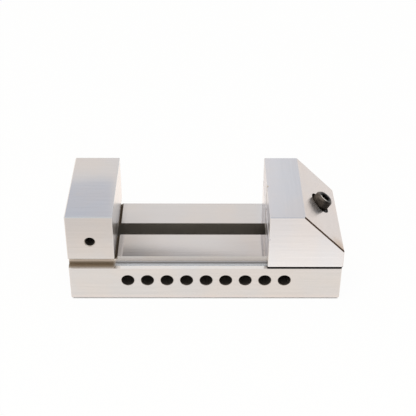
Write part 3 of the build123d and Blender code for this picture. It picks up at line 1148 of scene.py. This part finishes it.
def cut_away(piece, tool):
    """Cuts the tool's shape out of the piece and removes the tool."""
    deselect_all()
    piece.select_set(True)
    bpy.context.view_layer.objects.active = piece
    bpy.ops.object.modifier_add(type="BOOLEAN")
    cut = piece.modifiers[-1]
    cut.operation = "DIFFERENCE"
    cut.solver = "EXACT"
    cut.object = tool
    bpy.ops.object.modifier_apply(modifier=cut.name)
    bpy.data.objects.remove(tool)


def settle(piece, matrix):
    """Puts the piece's place into its mesh, so that its object stays at the origin."""
    piece.data.transform(matrix)
    piece.matrix_world = Matrix.Identity(4)
    piece.data.update()


print("modelling helpers ready")


# %% A knurled head, its top at height 0
def knurled_head(name, radius, height, rim, teeth):
    """The head of a cap screw, upright, with its top at 0 and its underside at -height."""
    foot = 0.09 * height
    knurl_top = rim + 0.05 * height
    ring = 0.03 * height
    valley = 0.965
    deselect_all()
    bpy.ops.mesh.primitive_cylinder_add(
        vertices=2 * teeth,
        radius=radius,
        depth=height - knurl_top - foot,
        location=(0, 0, -(knurl_top + height - foot) / 2),
    )
    head = bpy.context.object
    head.name = name
    bpy.ops.object.transform_apply(location=True, rotation=True, scale=True)
    spacing = tau / (2 * teeth)
    first = head.data.vertices[0].co.xy.angle_signed(Vector((1, 0)))

    def is_valley(vertex):
        """True for every second point round the head."""
        return round((vertex.co.xy.angle_signed(Vector((1, 0))) - first) / spacing) % 2 == 1

    bpy.ops.object.mode_set(mode="EDIT")
    valleys = pick("VERT", is_valley)
    resize(valley)
    for facing_end, way in ((facing_up, 1), (facing_down, -1)):
        pick("FACE", facing_end)
        grow(way * ring)
        bpy.ops.transform.tosphere(value=1.0)
        resize(0.992)
    pick("FACE", facing_up)
    grow(knurl_top - rim - ring)
    grow(rim, (radius - rim) / radius)
    pick("FACE", facing_down)
    grow(-(foot - ring), 0.965)
    bpy.ops.object.mode_set(mode="OBJECT")
    print(name, "teeth:", teeth, "valley points:", valleys)
    return head


# %% The socket for the key
def cut_socket(head, across_flats, depth):
    """Cuts a hexagon socket with a drilled point and a chamfered mouth into a head."""
    corner_radius = across_flats / 2 / cos(pi / 6)
    mouth = 0.12 * across_flats
    point = 0.28 * across_flats
    deselect_all()
    bpy.ops.mesh.primitive_cylinder_add(vertices=6, radius=corner_radius, depth=2 * depth, location=(0, 0, 0))
    key = bpy.context.object
    bpy.ops.object.mode_set(mode="EDIT")
    pick("FACE", facing_down)
    grow(-point, 0.05)
    bpy.ops.object.mode_set(mode="OBJECT")
    cut_away(head, key)
    deselect_all()
    bpy.ops.mesh.primitive_cone_add(
        vertices=48,
        radius1=corner_radius * 0.86,
        radius2=corner_radius * 1.02 + mouth,
        depth=2 * mouth,
        location=(0, 0, 0),
    )
    cut_away(head, bpy.context.object)
    print("socket depth:", round(depth / mm, 2), "mm")


# %% A shank
def plain_shank(radius, core, length, threaded, run_in, point, start):
    """A round shank downwards from start, narrowed to its core where the thread goes."""
    plain = length - threaded
    deselect_all()
    bpy.ops.mesh.primitive_cylinder_add(
        vertices=48, radius=radius, depth=plain, location=(0, 0, start - plain / 2)
    )
    shank = bpy.context.object
    bpy.ops.object.transform_apply(location=True, rotation=True, scale=True)
    bpy.ops.object.mode_set(mode="EDIT")
    pick("FACE", facing_down)
    grow(-run_in, core / radius)
    pick("FACE", facing_down)
    grow(-(threaded - run_in - point))
    grow(-point, 0.86)
    bpy.ops.object.mode_set(mode="OBJECT")
    return shank


# %% A thread ridge, wound by the Screw modifier
def thread_ridge(radius, root, pitch, turns, bottom):
    """A ridge that winds upwards from bottom, with closed ends."""
    corners = ((root, -0.44), (radius, -0.06), (radius, 0.06), (root, 0.44))
    deselect_all()
    bpy.ops.mesh.primitive_circle_add(vertices=4, radius=0.5 * pitch, location=(0, 0, 0), fill_type="NGON")
    ridge = bpy.context.object
    for vertex, (out, up) in zip(ridge.data.vertices, corners):
        vertex.co = (out, 0, up * pitch)
    ridge.data.transform(Matrix.Translation((0, 0, bottom)))
    bpy.ops.object.modifier_add(type="SCREW")
    winding = ridge.modifiers[-1]
    winding.angle = tau * turns
    winding.screw_offset = pitch * turns
    winding.iterations = 1
    winding.steps = winding.render_steps = 24 * turns
    bpy.ops.object.modifier_apply(modifier=winding.name)
    bpy.ops.object.mode_set(mode="EDIT")
    bpy.ops.mesh.select_mode(type="EDGE")
    bpy.ops.mesh.select_all(action="DESELECT")
    bpy.ops.mesh.select_non_manifold()
    bpy.ops.mesh.fill_holes(sides=8)
    bpy.ops.mesh.select_all(action="SELECT")
    bpy.ops.mesh.normals_make_consistent(inside=False)
    bpy.ops.object.mode_set(mode="OBJECT")
    print("thread turns:", turns)
    return ridge


# %% The whole screw
def cap_screw(name, finish, radius, height, rim, teeth, across_flats, socket_depth, shank):
    """A cap screw in one mesh. shank is its radius, its length, the threaded length and the pitch."""
    shank_radius, length, threaded, pitch = shank
    core = shank_radius - 0.6 * pitch
    start = -height + 0.02 * mm
    point = 0.5 * mm
    turns = int(threaded / pitch - 2.2)
    head = knurled_head(name, radius, height, rim, teeth)
    cut_socket(head, across_flats, socket_depth)
    parts = [
        head,
        plain_shank(shank_radius, core, length, threaded, 0.3 * pitch, point, start),
        thread_ridge(shank_radius, core - 0.08 * mm, pitch, turns, start - length + point + 0.6 * pitch),
    ]
    deselect_all()
    for part in parts:
        part.select_set(True)
    bpy.context.view_layer.objects.active = head
    bpy.ops.object.join()
    bpy.ops.object.shade_smooth_by_angle(angle=radians(28))
    head.data.materials.clear()
    head.data.materials.append(finish)
    print(name, "polygons:", len(head.data.polygons))
    return head


clamp_screw = cap_screw(
    "clamp_screw_detailed",
    clamp_oxide,
    radius=6.5 * mm,
    height=8.0 * mm,
    rim=1.1 * mm,
    teeth=54,
    across_flats=6.0 * mm,
    socket_depth=4.0 * mm,
    shank=(4.0 * mm, 60.0 * mm, 28.0 * mm, 1.25 * mm),
)
settle(clamp_screw, Matrix.Translation(pivot) @ Matrix.Rotation(screw_tip, 4, "Y"))
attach(clamp_screw, "screw")
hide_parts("clamp_screw")

# %% [markdown]
# ## The keeper's two small screws
#
# They are the same kind of screw, head down in the plate under the bed. Each one takes its place
# from the measured screw that it stands for.

# %% Keeper screws
for node_name in ("front_keeper_screw", "rear_keeper_screw"):
    low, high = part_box(node_name)
    small_screw = cap_screw(
        node_name + "_detailed",
        small_oxide,
        radius=4.25 * mm,
        height=5.0 * mm,
        rim=0.5 * mm,
        teeth=36,
        across_flats=4.0 * mm,
        socket_depth=2.5 * mm,
        shank=(2.5 * mm, 10.0 * mm, 7.0 * mm, 0.8 * mm),
    )
    head_end = Vector(((low.x + high.x) / 2, (low.y + high.y) / 2, low.z))
    settle(small_screw, Matrix.Translation(head_end) @ Matrix.Rotation(pi, 4, "X"))
    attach(small_screw, "sliding_jaw")
    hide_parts(node_name)
